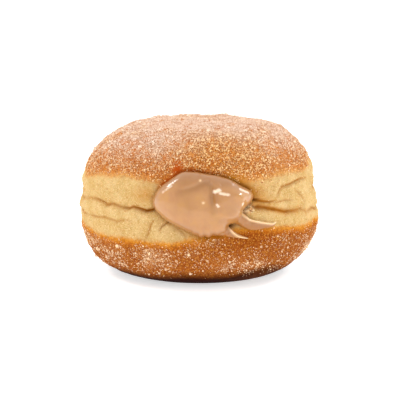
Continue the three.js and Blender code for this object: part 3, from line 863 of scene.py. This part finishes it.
def paint_filling(filling):
    _, along, z = on_side(mesh_points(filling))
    # Painted shade: darker on the upper layer under the dough's overhang, along the ledge and in the
    # grooves.
    fold = 0.5 * climb(z - 0.12 * np.abs(along - 2), *OVERHANG_FOOT)
    fold *= climb(along, 14, -6) * climb(along, -9.5, 5)
    rope, film, smear = np.zeros((3, *along.shape))
    # A pale line along each rope and a spot on each bubble are painted highlights.
    for name, route, *_ in STRANDS:
        near, side, share = route_field(route, along, z, 4)
        if name.endswith("rope"):
            lay(rope, near, bump(side, ROPE_LINE) * climb(share, 0.1, 0.2))
        elif name.endswith("film"):
            lay(film, near, smooth_step(share * 3 - 0.4) * (0.5 + 0.5 * smooth_step(0.3 - side)))
    for at in CREAM_BUBBLES:
        rope = np.maximum(rope, bump(np.hypot(along - at[0], z - at[1]), 0.8 * BUBBLE_RADIUS))
    # Painted highlights along the listed streaks and spots.
    for route, width, strength in CREAM_HIGHLIGHTS:
        near, side, share = route_field(route, along, z, 4 * width)
        lay(smear, near, strength * bump(side, width))
    near, side, share = route_field(CREAM_LEDGE, along, z, LEDGE_REACH)
    lay(fold, near, LEDGE_SHADE * bump(side - 0.4, 1.5) * fade_ends(share))
    for route, depth, width in CREAM_GROOVES:
        near, side, share = route_field(route, along, z, 3 * width)
        lay(fold, near, bump(side, width) * fade_ends(share) * depth)
    # Painted shade, darker towards the filling's rim.
    rim = climb(outside_rim(along, z), *CREAM_RIM_SHADE) * (1 - spot(along, z, *WEB_SPOT))
    paint(filling, smear=smear, rope=rope, film=film, fold=fold, rim=rim)


# ---- Browning and painted shade of the dough ----
def crust_share(azimuth, z):
    """1 on the browned crust and 0 in the pale girth."""
    top = wavy(BAND_TOP, BAND_TOP_WAVES, azimuth)
    foot = wavy(BAND_FOOT, BAND_FOOT_WAVES, azimuth, BAND_FOOT_SHIFTS)
    above = smooth_step((z - top) / BAND_TOP_EDGE + 0.5)
    above = above * (1 - spots(BODY_RADIUS * azimuth, z, PALE_SHOULDER))
    below = smooth_step((foot - z) / BAND_FOOT_EDGE + 0.5)
    return np.clip(above + below + lip_share(azimuth, z), 0, 1)


def lip_share(azimuth, z):
    """The browned lip that follows the filling's upper left edge down, broadest at its top, darkened also
    with painted shade against the filling.
    """
    along = BODY_RADIUS * azimuth
    edge = by_rim(along, z, LIP_WIDTH) * climb(along, *LIP_END) * climb(z, *LIP_FOOT)
    return np.maximum(edge, bump(np.hypot(along - LIP_PATCH[0], z - LIP_PATCH[1]), LIP_PATCH_REACH))


def crevice_share(azimuth, z):
    """Painted shade: 1 at the bottom of the crease and the folds, and in a thin line round the filling."""
    along = BODY_RADIUS * azimuth
    right = bump(along - CREASE_RIGHT[0], CREASE_RIGHT[1])
    share = bump(z - crease_height(azimuth), 0.6 + 0.2 * right)
    share = share * np.clip(slit_depth(azimuth) / 0.8 + 0.4 * right, 0.3, 1)
    for route, depth, width in FOLDS:
        near, side, way = route_field(route, along, z, 3 * width)
        lay(share, near, bump(side, 0.75 * width) * fade_ends(way) * depth)
    # a thin painted shadow round the filling, fainter under the overhang
    rim = (0.8 - 0.6 * climb(z, *OVERHANG_FOOT)) * by_rim(along, z, 0.8)
    return np.clip(np.maximum(share, rim), 0, 1)


def sugar_drifts():
    """The drifts in front, and seeded ones round the rest of the lower crust."""
    given, rng, drifts = BACK_DRIFTS, np.random.default_rng(BACK_DRIFTS["seed"]), list(SUGAR_DRIFTS)
    for i in range(given["count"]):
        run = (GIRTH - 2 * given["start"]) * (i + rng.uniform(*given["apart"])) / given["count"]
        at = (given["start"] + run, rng.uniform(*given["height"]))
        reach = tuple(rng.uniform(*ends) for ends in given["reach"])
        drifts.append((at, reach, rng.uniform(*given["strength"])))
    return drifts


def drift_share(along, z):
    share = np.zeros(np.shape(along))
    for at, spread, strength in sugar_drifts():
        away = (along - at[0] + GIRTH / 2) % GIRTH - GIRTH / 2
        share = share + strength * spot(away, z, (0, at[1]), spread)
    return np.minimum(share, 1.2)


def sugar_share(azimuth, z):
    """How thickly sugar lies, against 1 at its thickest."""
    along = BODY_RADIUS * azimuth
    upper = climb(z, 30, 8)
    on_top = 0.42 + 0.58 * climb(z, 43, 8)
    below = (0.08 + 0.55 * drift_share(along, z)) * climb(z, 3, 5) * (1 - spots(along, z, BARE_SPOT))
    beside = (1 - 0.6 * by_rim(along, z, 2)) * (1 - 0.97 * lip_share(azimuth, z))
    lies = (0.05 + 0.95 * crust_share(azimuth, z) ** 1.5) * (upper * on_top + (1 - upper) * below)
    return (lies + spots(along, z, SHOULDER_SUGAR)) * beside + spots(along, z, SUGAR_SPOTS)


def paint_dough(dough):
    azimuth, along, z = on_side(mesh_points(dough))
    heel = smooth_step((wavy(HEEL_HEIGHT, HEEL_WAVES, azimuth, HEEL_SHIFTS) - z) / HEEL_EDGE) ** HEEL_POWER
    # Painted shade: under the filling, over its right end, along the crease and at the listed spots, sparing
    # the tuft.
    under = 0.55 * by_rim(along, z, 1.5) * climb(z, 32, -4)
    strength, reach, start, foot = BROW
    brow = strength * by_rim(along, z, reach) * climb(along, *start) * climb(z, *foot)
    dark = 0.15 + 0.3 * bump(along - CREASE_RIGHT[0], CREASE_RIGHT[1])
    crease = dark * bump(z - crease_height(azimuth), 1.3)
    stains = [spots(along, z, given) for given in (CORNER_SHADES, CHEEK_SHADE, HOLE_SHADE)]
    tuft = spot(along, z, CRUMB_PLACE, TUFT_REACH)
    # The hollow layer is painted shade in the hollows under the tails and at the mouth's corners.
    paint(
        dough, crust=crust_share(azimuth, z), upper=climb(z, 24, 8),
        heel=wavy(1, [], azimuth, HEEL_FADES) * heel,
        hollow=np.max([spot(along, z, at, reach) for at, reach, _ in HOLLOWS], axis=0),
        stain=np.max([under, brow, crease, *stains], axis=0) * (1 - tuft),
        tuft=tuft, crevice=crevice_share(azimuth, z) * (1 - tuft), sugar=sugar_share(azimuth, z),
        lip=lip_share(azimuth, z))


# ---- Materials ----
def srgb(tone):
    """A linear colour from three 8-bit sRGB values."""
    shares = [value / 255 for value in tone]
    linear = [c / 12.92 if c <= 0.04045 else ((c + 0.055) / 1.055) ** 2.4 for c in shares]
    return (*linear, 1)


class Shader:
    """A material whose nodes are added by name of type, with inputs by name or number."""

    def __init__(self, name):
        self.material = bpy.data.materials.new(name)
        self.material.use_nodes = True
        self.tree = self.material.node_tree
        self.surface = self.tree.nodes["Principled BSDF"]
        self.place = self.add("ShaderNodeTexCoord", output=3)

    def put(self, socket, value):
        """Gives a socket a value, another node's output, or a painted layer by its name."""
        if isinstance(value, str):
            value = self.add("ShaderNodeAttribute", output=2, attribute_name=value)
        if isinstance(value, bpy.types.NodeSocket):
            self.tree.links.new(value, socket)
        else:
            socket.default_value = value

    def add(self, kind, inputs=(), output=0, **settings):
        made = set_all(self.tree.nodes.new(kind), **settings)
        for key, value in dict(inputs).items():
            self.put(made.inputs[key], value)
        return made.outputs[output]

    def mix(self, share, low, high, strength=1):
        """Mixes two colours, each given by a node or as 8-bit sRGB values."""
        low, high = (srgb(tone) if isinstance(tone, tuple) else tone for tone in (low, high))
        inputs = {0: self.times(share, strength), 6: low, 7: high}
        return self.add("ShaderNodeMix", inputs, output=2, data_type="RGBA")

    def coats(self, colour, *given):
        """Tones over a colour: share, sRGB values, strength."""
        for share, tone, strength in given:
            colour = self.mix(share, colour, tone, strength)
        return colour

    def math(self, operation, a, b=0, c=0):
        return self.add("ShaderNodeMath", {0: a, 1: b, 2: c}, operation=operation)

    def times(self, a, b):
        return self.math("MULTIPLY", a, b)

    def noise(self, size, detail=2, roughness=0.6):
        """Noise whose lumps are about size millimetres."""
        inputs = {"Vector": self.place, "Scale": 1 / (size * MM), "Detail": detail, "Roughness": roughness}
        return self.add("ShaderNodeTexNoise", inputs)

    def shaken(self, value, noise, depth):
        """A value raised and lowered by noise about its middle."""
        return self.math("MULTIPLY_ADD", self.math("SUBTRACT", noise, 0.5), depth, value)

    def ramp(self, value, low, high):
        inputs = {"Value": value, "From Min": low, "From Max": high}
        return self.add("ShaderNodeMapRange", inputs, interpolation_type="SMOOTHSTEP")

    def patches(self, low, high, size, detail=2, roughness=0.6):
        """Patches of noise, 0 where it is below low and 1 where it is above high."""
        return self.ramp(self.noise(size, detail, roughness), low, high)

    def stops(self, value, tones):
        """A colour ramp through stops: position, sRGB values."""
        made = self.tree.nodes.new("ShaderNodeValToRGB")
        self.put(made.inputs[0], value)
        elements = made.color_ramp.elements
        elements.remove(elements[1])
        elements[0].position, elements[0].color = tones[0][0], srgb(tones[0][1])
        for position, tone in tones[1:]:
            elements.new(position).color = srgb(tone)
        return made.outputs[0]

    def height_share(self, start, end, lean):
        """0 at a height and 1 at another, in millimetres, which fall to the left by lean for each."""
        inputs = {0: self.place, 1: (-lean, 0, 1)}
        height = self.add("ShaderNodeVectorMath", inputs, output=1, operation="DOT_PRODUCT")
        return self.ramp(height, start * MM, end * MM)

    def paleness(self):
        """Where sugar is white: in patches on the crown, partly white sugar and partly painted sheen, less
        over the mouth, and on the lower crust.
        """
        inputs = {0: self.place, 1: [side * MM for side in OVER_MOUTH]}
        away = self.add("ShaderNodeVectorMath", inputs, output=1, operation="DISTANCE")
        crown = self.math("MULTIPLY_ADD", self.patches(0.3, 0.55, 9, 3), 0.5, 0.62)
        crown = self.times(self.height_share(36.5, 54.5, 0.03), crown)
        crown = self.times(crown, self.ramp(away, 8 * MM, 28 * MM))
        return self.math("MAXIMUM", crown, self.times(self.height_share(28, 10, 0.1), 0.45))

    def bump(self, height, strength, distance, **under):
        inputs = {"Height": height, "Strength": strength, "Distance": distance * MM, **under}
        return self.add("ShaderNodeBump", inputs)

    def finish(self, **values):
        for key, value in values.items():
            self.put(self.surface.inputs[key.replace("_", " ")], value)
        return self.material


def dough_material():
    s = Shader("dough")
    large, pores, crumb = s.noise(6, 4), s.noise(0.9, 3), s.noise(0.35)
    ragged = s.shaken(s.shaken("crust", large, 0.55), pores, 0.35)
    pale = s.coats(
        s.mix(s.ramp(large, 0.35, 0.65), (192, 155, 94), (204, 171, 116)),
        (s.ramp(pores, 0.5, 0.75), (178, 136, 72), 1), (s.ramp(crumb, 0.5, 0.7), (224, 196, 146), 1))
    crust = s.mix("upper", s.stops(ragged, LOW_CRUST), s.stops(ragged, HIGH_CRUST))
    crust = s.mix(s.patches(0.45, 0.7, 1.3, 3), crust, (150, 72, 20), 0.55)
    whitened = s.paleness()
    contrast = s.times(s.math("MULTIPLY_ADD", whitened, -0.6, 1), "crust")
    pits = s.times(s.patches(0.48, 0.56, 0.5, 2, 0.7), contrast)
    golden = s.times(s.patches(0.52, 0.62, 0.45, 1), contrast)
    dusted = s.times("sugar", s.patches(0.45, 0.58, 0.32, 1, 0.5))
    torn = s.times(s.ramp(crumb, 0.34, 0.5), "tuft")
    # Over the dough's own tones: the lip is browning with painted shade; painted shade darkens the shade
    # spots, the crease, the folds and the hollows; the foot is browning with painted shade.
    colour = s.coats(
        s.mix(s.ramp(ragged, 0.05, 0.35), pale, crust),
        (pits, (116, 52, 8), 0.95), (golden, (226, 158, 68), 0.6), ("lip", (168, 64, 6), 0.9),
        (dusted, s.mix(whitened, (216, 150, 80), (226, 188, 154)), 0.9), ("stain", (186, 122, 34), 1),
        ("crevice", (158, 92, 2), 1), (torn, (250, 228, 190), 1), ("hollow", (104, 58, 12), 0.9),
        ("heel", (42, 9, 3), 1))
    return s.finish(
        Base_Color=colour, Roughness=0.75, Specular_IOR_Level=0.03,
        Normal=s.bump(s.noise(0.3), 0.6, 0.15, Normal=s.bump(pores, 0.45, 0.25)),
        Subsurface_Weight=0.15, Subsurface_Radius=(3 * MM, 1.4 * MM, 0.6 * MM), Subsurface_Scale=1)


def cream_material():
    s = Shader("filling")
    # The painted highlights, broken up by noise at their edges.
    torn = s.ramp(s.shaken("smear", s.noise(0.7), 1.1), 0.1, 0.65)
    # Over the filling's own marbled tones: painted shade on the upper layer, ledge, grooves and rim, and
    # painted highlights on the ropes, bubbles and streaks.
    colour = s.coats(
        s.mix(s.patches(0.3, 0.7, 9, 2, 0.5), (175, 123, 69), (186, 133, 77)),
        (s.patches(0.4, 0.7, 2.4, 3), (174, 120, 76), 0.5), (s.patches(0.5, 0.7, 3.6), (186, 134, 66), 0.4),
        ("fold", (150, 98, 42), 1), ("rim", (162, 113, 70), 0.9), ("film", (158, 97, 20), 0.9),
        ("rope", (238, 202, 156), 0.9), (s.times(torn, "smear"), (248, 224, 198), 1))
    return s.finish(
        Base_Color=colour, Roughness=0.22, Normal=s.bump(s.noise(3, 2, 0.5), 0.1, 0.2),
        Subsurface_Weight=0.25, Subsurface_Radius=(2.6 * MM, 1.5 * MM, 0.8 * MM), Subsurface_Scale=1,
        Coat_Weight=0.4, Coat_Roughness=0.06)


def sugar_material():
    s = Shader("sugar")
    shades = s.patches(0.4, 0.6, 0.6, 1, 0.5)
    golden = s.mix(shades, (176, 104, 42), (254, 218, 154))
    white = s.mix(shades, (214, 176, 144), (242, 216, 194))
    colour = s.mix(s.paleness(), golden, white)
    # Painted light: grains are lighter towards the bottom, where the lower crust lies in shade.
    colour = s.mix(s.height_share(28, 16, 0.1), colour, (252, 228, 190), 0.2)
    return s.finish(Base_Color=colour, Roughness=0.32, Specular_IOR_Level=0.4)


def floor_material():
    """Pale, and lit faintly from below as a light table is, so that the shadow on it stays thin."""
    return Shader("floor").finish(
        Base_Color=(FLOOR_SHADE, FLOOR_SHADE, FLOOR_SHADE, 1), Roughness=0.8,
        Emission_Color=(1, 1, 1, 1), Emission_Strength=FLOOR_GLOW)


# ---- Sugar ----
CRYSTAL_CORNERS = np.array([
    (x, y, z) for z in (-1, 1) for x, y in ((-1, -1), (1, -1), (1, 1), (-1, 1))
], float) / 2
CRYSTAL_FACES = np.array([
    (0, 2, 1), (0, 3, 2), (4, 5, 6), (4, 6, 7), (0, 1, 5), (0, 5, 4),
    (1, 2, 6), (1, 6, 5), (2, 3, 7), (2, 7, 6), (3, 0, 4), (3, 4, 7),
])
CHIP_CORNERS = np.array([(1, 0, 0), (-1, 0, 0), (0, 1, 0), (0, -1, 0), (0, 0, 1), (0, 0, -1)], float) * 0.62
CHIP_FACES = np.array([
    (0, 2, 4), (2, 1, 4), (1, 3, 4), (3, 0, 4), (2, 0, 5), (1, 2, 5), (3, 1, 5), (0, 3, 5),
])
DUST_CORNERS = np.array([(1, 1, 1), (1, -1, -1), (-1, 1, -1), (-1, -1, 1)], float) * 0.42
DUST_FACES = np.array([(0, 1, 2), (0, 2, 3), (0, 3, 1), (1, 3, 2)])


def on_strands(along, z):
    found = np.zeros(along.shape, bool)
    for *route, reach in STRAND_GUARDS:
        near, side, _ = route_field(route, along, z, reach)
        found[near] |= np.abs(side) < reach
    return found


def scatter_places(dough, count, rng, seed, clump):
    """Points on the skin of the dough, thickest where sugar lies, and clear of the filling."""
    mesh = dough.data
    mesh.calc_loop_triangles()
    corners = np.empty(len(mesh.loop_triangles) * 3, np.int32)
    mesh.loop_triangles.foreach_get("vertices", corners)
    a, b, c = mesh_points(dough)[corners.reshape(-1, 3)].transpose(1, 0, 2)
    cross = np.cross(b - a, c - a)
    area = np.linalg.norm(cross, axis=1) / 2
    normal = cross / np.maximum(2 * area, 1e-9)[:, None]
    centre = (a + b + c) / 3
    azimuth, along, z = on_side(centre)
    outer = np.hypot(centre[:, 0], centre[:, 1]) > wall_radius(np.clip(z, 0.2, 53)) - SKIN_DEPTH
    clear = (outside_rim(along, z) > RIM_CLEAR) & ~on_strands(along, z)
    clear &= (outer | (z > CROWN_FOOT)) & (z > SUGAR_FOOT)
    patches = 1 + clump * (wave_noise(centre, 6, seed + 1) + wave_noise(centre, 2.2, seed + 2))
    weight = area * sugar_share(azimuth, z) * np.clip(patches, 0.05, 3) * clear
    chosen = rng.choice(len(weight), count, p=weight / weight.sum())
    u, v = rng.random((2, count))
    flip = u + v > 1
    u, v = np.where(flip, 1 - u, u)[:, None], np.where(flip, 1 - v, v)[:, None]
    places = a[chosen] * (1 - u - v) + b[chosen] * u + c[chosen] * v
    return places, normal[chosen]


def random_turns(rng, count):
    """Rotation matrices evenly spread over all turns."""
    return np.array([Quaternion(way).normalized().to_matrix() for way in rng.normal(size=(count, 4))])


def grains_object(name, centres, shapes, faces):
    """One mesh of many grains: shapes are the corners of each about its centre."""
    count, corners = shapes.shape[:2]
    vertices = (centres[:, None] + shapes).reshape(-1, 3)
    index = (faces[None] + np.arange(count)[:, None, None] * corners).reshape(-1, 3)
    return mesh_object(name, vertices, index)


def make_sugar(name, dough, amounts, corners, faces, clump):
    count, smallest, largest, seed = amounts
    rng = np.random.default_rng(seed)
    places, normals = scatter_places(dough, count, rng, seed, clump)
    scale = smallest + (largest - smallest) * rng.random(count) ** 2
    stretch = rng.uniform(0.7, 1.15, (count, 3)) * scale[:, None]
    shapes = np.einsum("nij,nkj->nki", random_turns(rng, count), corners[None] * stretch[:, None])
    centres = places + normals * (scale * GRAIN_LIFT * rng.uniform(0.3, 1, count))[:, None]
    return grains_object(name, centres, shapes, faces)


def on_clear_crust(azimuth, z):
    on_crust = z > UPPER_CRUST_START or LOWER_CRUST[0] < z < LOWER_CRUST[1]
    in_front = abs(azimuth) < CLEAR_FRONT["azimuth"] and CLEAR_FRONT["low"] < z < CLEAR_FRONT["high"]
    return on_crust and not in_front


def crystal_draws():
    """Azimuth, distance along the profile, turns and size of the CAD solid's own coarse crystals."""
    draw = seeded_random(CRYSTAL_SEED)
    draws = []
    while len(draws) < CRYSTAL_COUNT:
        azimuth = (2 * next(draw) - 1) * math.pi
        run = between(CRYSTAL_SHARES, next(draw)) * PROFILE_RUN[-1]
        turns = [CRYSTAL_TURN * next(draw) for _ in range(3)]
        size = between(CRYSTAL_SIZE, next(draw))
        r, z = profile_at(run)[:2]
        keep = next(draw) < r / BODY_RADIUS
        if keep and on_clear_crust(azimuth, z):
            draws.append((azimuth, run, turns, size))
    return draws


def make_crystals():
    """The coarse crystals of the CAD solid, at the same places."""
    centres, shapes = [], []
    for azimuth, run, turns, size in crystal_draws():
        r, z, normal_r, normal_z = profile_at(run)
        lift = dough_relief(*np.array([[azimuth], [r], [z]]))[0] - CRYSTAL_SINK
        centres.append(round_body(azimuth, r + lift * normal_r, z + lift * normal_z))
        turn = np.array(Euler(turns, "ZYX").to_matrix())
        shapes.append(CRYSTAL_CORNERS * size * CRYSTAL_SHAPE @ turn.T)
    return grains_object("sugar_crystals", np.array(centres), np.array(shapes), CRYSTAL_FACES)


# ---- Stage ----
def aim_at(thing, place, target):
    """Puts a camera or a light at a place, looking at a target, in metres."""
    thing.location = place
    thing.rotation_euler = (Vector(target) - thing.location).to_track_quat("-Z", "Y").to_euler()


def make_camera():
    lens = {"lens": LENS, "sensor_width": SENSOR_WIDTH, "clip_start": CLIP_START}
    camera = add_object("camera", set_all(bpy.data.cameras.new("camera"), **lens))
    back = CAMERA_DISTANCE * math.cos(CAMERA_ELEVATION)
    up = CAMERA_PIVOT + CAMERA_DISTANCE * math.sin(CAMERA_ELEVATION)
    aim_at(camera, Vector((0, -back, up)) * MM, Vector(CAMERA_AIM) * MM)
    bpy.context.scene.camera = camera


def make_light(name, place, size, power):
    data = set_all(bpy.data.lights.new(name, "AREA"), shape="DISK", size=size, energy=power)
    aim_at(add_object(name, data), place, LIGHT_AIM)


def make_stage():
    bpy.ops.mesh.primitive_plane_add(size=FLOOR_WIDTH)
    floor = bpy.context.object
    floor.name = "floor"
    floor.data.materials.append(floor_material())
    for light in LIGHTS:
        make_light(*light)
    world = bpy.data.worlds.new("studio")
    world.use_nodes = True
    sky = world.node_tree.nodes["Background"].inputs
    sky["Color"].default_value = (1, 1, 1, 1)
    sky["Strength"].default_value = SKY_STRENGTH
    scene = bpy.context.scene
    scene.world = world
    scene.view_settings.view_transform = "Standard"


def dress(piece, material, slot, *nodes):
    piece.data.materials.clear()
    piece.data.materials.append(material)
    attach(piece, "root")
    if nodes:
        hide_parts(*nodes)


make_camera()
make_stage()
dough = make_dough()
cut_pocket(dough)
shade_smooth(dough)
paint_dough(dough)
filling = make_filling()
paint_filling(filling)
dress(dough, dough_material(), "dough", "dough")
dress(filling, cream_material(), "filling", "filling")
sugar = sugar_material()
for name, amounts, corners, faces, clump in (
        ("sugar_dust", SUGAR_DUST, DUST_CORNERS, DUST_FACES, 0.5),
        ("sugar_fine", SUGAR_FINE, CHIP_CORNERS, CHIP_FACES, 0.7),
        ("sugar_coarse", SUGAR_COARSE, CRYSTAL_CORNERS, CRYSTAL_FACES, 0.9)):
    dress(make_sugar(name, dough, amounts, corners, faces, clump), sugar, "dough")
dress(make_crystals(), sugar, "dough")
